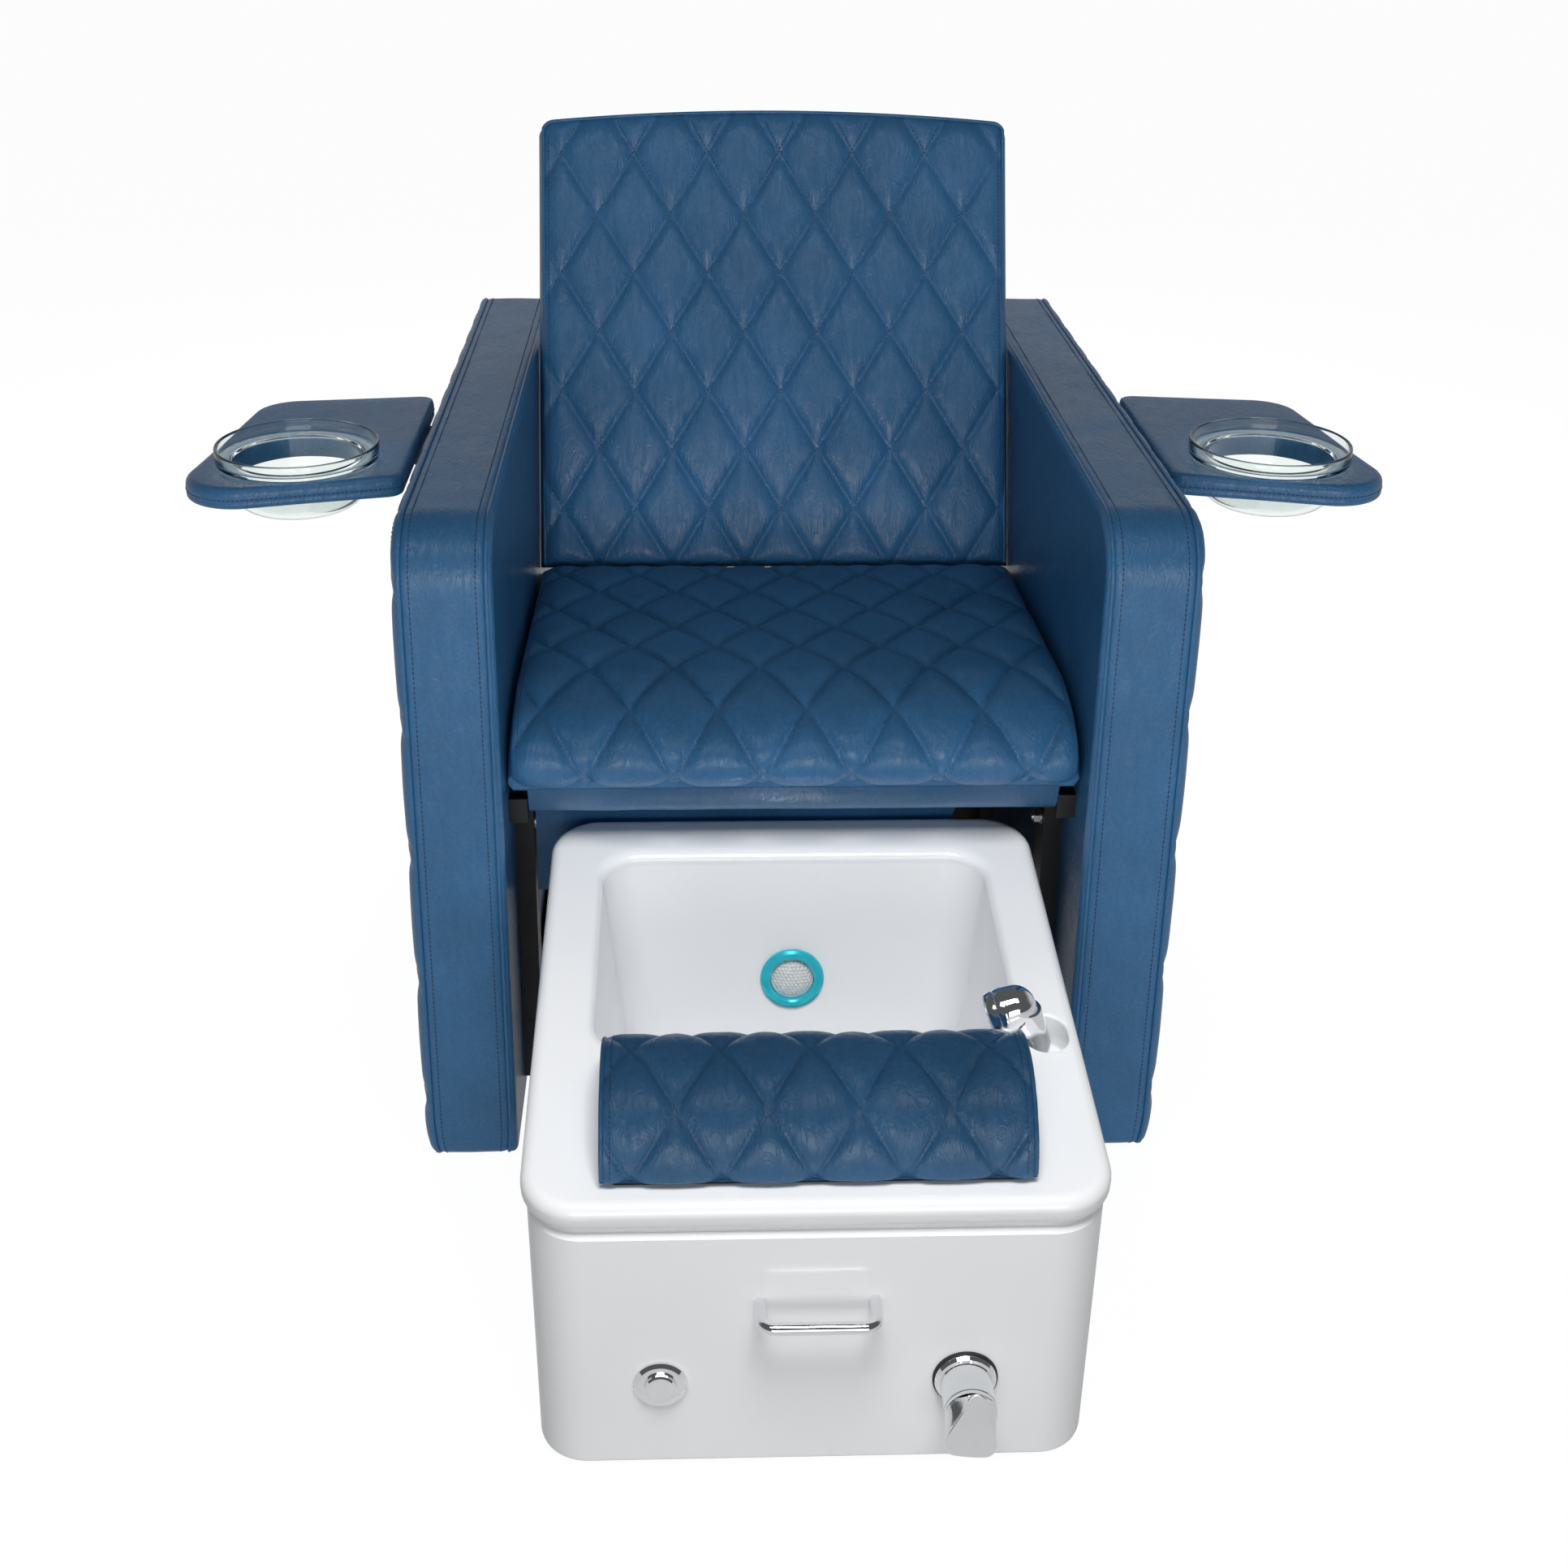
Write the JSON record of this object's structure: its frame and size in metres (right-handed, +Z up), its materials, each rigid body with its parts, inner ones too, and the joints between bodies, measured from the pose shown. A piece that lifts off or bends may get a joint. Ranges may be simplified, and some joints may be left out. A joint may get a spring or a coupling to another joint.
{
  "type": "pedicure spa chair",
  "caption": "Upholstered pedicure chair with quilted arm boxes, reclining back, swing-out trays with glass bowls and a roll-out foot tub with padded footrest, mixer and sprayer.",
  "frame": {"origin": "on the floor, at the middle of the whole chair's bounding box with the tub out and the trays in use", "axes": "+Z up, the sitter and the tub face -Y, +X is to the right of someone who stands in front of the chair and looks at it"},
  "size_m": [1.314, 1.46, 1.0351],
  "materials": {
    "leather_blue": "smooth coated leather, soft satin sheen, quilted where stitched",
    "leather_apron": "thin coated leather, satin",
    "plywood": "raw plywood",
    "frame_black": "black powder coat, satin",
    "cover_black": "black board, matt",
    "zinc": "bright zinc plate",
    "glide_plastic": "black plastic",
    "bowl_glass": "clear glass, polished",
    "tub_acrylic": "white gloss acrylic",
    "white_plastic": "white moulded plastic",
    "wheel_rubber": "grey-black rubber",
    "chrome": "bright chrome plate",
    "spray_plate": "grey plastic spray plate",
    "black_rubber": "black rubber",
    "aqua_ring": "metallic turquoise",
    "lens_glass": "clear ribbed lens"
  },
  "bodies": {
    "chair": {"frame": "frame_black", "rear_cover": "cover_black", "seat_board": "plywood", "seat_cushion": "leather_blue", "valance": "leather_apron", "arm_left_carcass": "plywood", "arm_left_strap": "leather_blue", "arm_left_outer_panel": "leather_blue", "arm_left_inner_panel": "leather_blue", "arm_right_carcass": "plywood", "arm_right_strap": "leather_blue", "arm_right_outer_panel": "leather_blue", "arm_right_inner_panel": "leather_blue", "arm_bolts": "zinc", "arm_washers": "zinc", "arm_nuts": "zinc", "arm_glides": "glide_plastic", "back_pins": "zinc", "tray_left_bracket": "frame_black", "tray_right_bracket": "frame_black"},
    "backrest": {"back_hinge_bars": "frame_black", "back_board": "plywood", "back_cushion": "leather_blue", "back_shell": "leather_blue"},
    "left_tray": {"tray_left_pivot": "frame_black", "tray_left": "leather_blue"},
    "left_bowl": {"bowl_left": "bowl_glass"},
    "right_tray": {"tray_right_pivot": "frame_black", "tray_right": "leather_blue"},
    "right_bowl": {"bowl_right": "bowl_glass"},
    "tub": {"tub_shell": "tub_acrylic", "tub_chassis": "plywood", "caster_forks": "zinc", "caster_axles": "zinc", "footrest_base": "plywood", "footrest_bolster": "leather_blue", "pull_handle": "chrome", "handle_screws": "zinc", "button_flange": "chrome", "button_bellows": "black_rubber", "air_switch": "white_plastic", "mixer_gasket": "black_rubber", "mixer_flange": "chrome", "mixer_body": "chrome", "jet_ring": "aqua_ring", "jet_lens": "lens_glass", "jet_housing": "white_plastic", "drain_strainer": "chrome", "drain_tail": "white_plastic", "sprayer_socket": "chrome"},
    "front_left_wheel": {"wheel_front_left": "wheel_rubber"},
    "front_right_wheel": {"wheel_front_right": "wheel_rubber"},
    "rear_left_wheel": {"wheel_rear_left": "wheel_rubber"},
    "rear_right_wheel": {"wheel_rear_right": "wheel_rubber"},
    "push_button": {"button_cap": "chrome"},
    "mixer_head": {"mixer_turret": "chrome", "lever_pin": "zinc"},
    "mixer_handle": {"mixer_lever": "chrome"},
    "hand_sprayer": {"sprayer_body": "chrome", "sprayer_face": "spray_plate"}
  },
  "joints": [
    {"name": "back_recline", "type": "hinge", "parent": "chair", "child": "backrest", "pos_m": [0, 0.345, 0.455], "axis": [-1, 0, 0], "range_deg": [0, 25]},
    {"name": "left_tray_swing", "type": "hinge", "parent": "chair", "child": "left_tray", "pos_m": [-0.522, 0.254, 0.7], "axis": [0, 0, -1], "range_deg": [0, 90]},
    {"name": "right_tray_swing", "type": "hinge", "parent": "chair", "child": "right_tray", "pos_m": [0.522, 0.254, 0.7], "axis": [0, 0, 1], "range_deg": [0, 90]},
    {"name": "left_bowl_lift", "type": "slide", "parent": "left_tray", "child": "left_bowl", "axis": [0, 0, 1], "range_m": [0, 0.12]},
    {"name": "right_bowl_lift", "type": "slide", "parent": "right_tray", "child": "right_bowl", "axis": [0, 0, 1], "range_m": [0, 0.12]},
    {"name": "tub_roll", "type": "slide", "parent": "chair", "child": "tub", "axis": [0, 1, 0], "range_m": [0, 0.42], "deforming": ["valance"]},
    {"name": "button_push", "type": "slide", "parent": "tub", "child": "push_button", "axis": [0, 1, 0], "range_m": [0, 0.003], "stiffness_N_per_m": 800, "springref_m": -0.002},
    {"name": "mixer_turn", "type": "hinge", "parent": "tub", "child": "mixer_head", "pos_m": [0.134, -0.704, 0.1], "axis": [0, 1, 0], "range_deg": [-45, 45]},
    {"name": "mixer_lift", "type": "hinge", "parent": "mixer_head", "child": "mixer_handle", "pos_m": [0.13583, -0.7125, 0.11489], "axis": [-0.9925, 0, 0.1219], "range_deg": [0, 25]},
    {"name": "sprayer_lift", "type": "slide", "parent": "tub", "child": "hand_sprayer", "axis": [0, 0, 1], "range_m": [0, 0.045]},
    {"name": "front_left_roll", "type": "hinge", "parent": "tub", "child": "front_left_wheel", "pos_m": [-0.185, -0.6, 0.014], "axis": [1, 0, 0], "continuous": true},
    {"name": "front_right_roll", "type": "hinge", "parent": "tub", "child": "front_right_wheel", "pos_m": [0.185, -0.6, 0.014], "axis": [1, 0, 0], "continuous": true},
    {"name": "rear_left_roll", "type": "hinge", "parent": "tub", "child": "rear_left_wheel", "pos_m": [-0.185, -0.183, 0.014], "axis": [1, 0, 0], "continuous": true},
    {"name": "rear_right_roll", "type": "hinge", "parent": "tub", "child": "rear_right_wheel", "pos_m": [0.185, -0.183, 0.014], "axis": [1, 0, 0], "continuous": true}
  ]
}
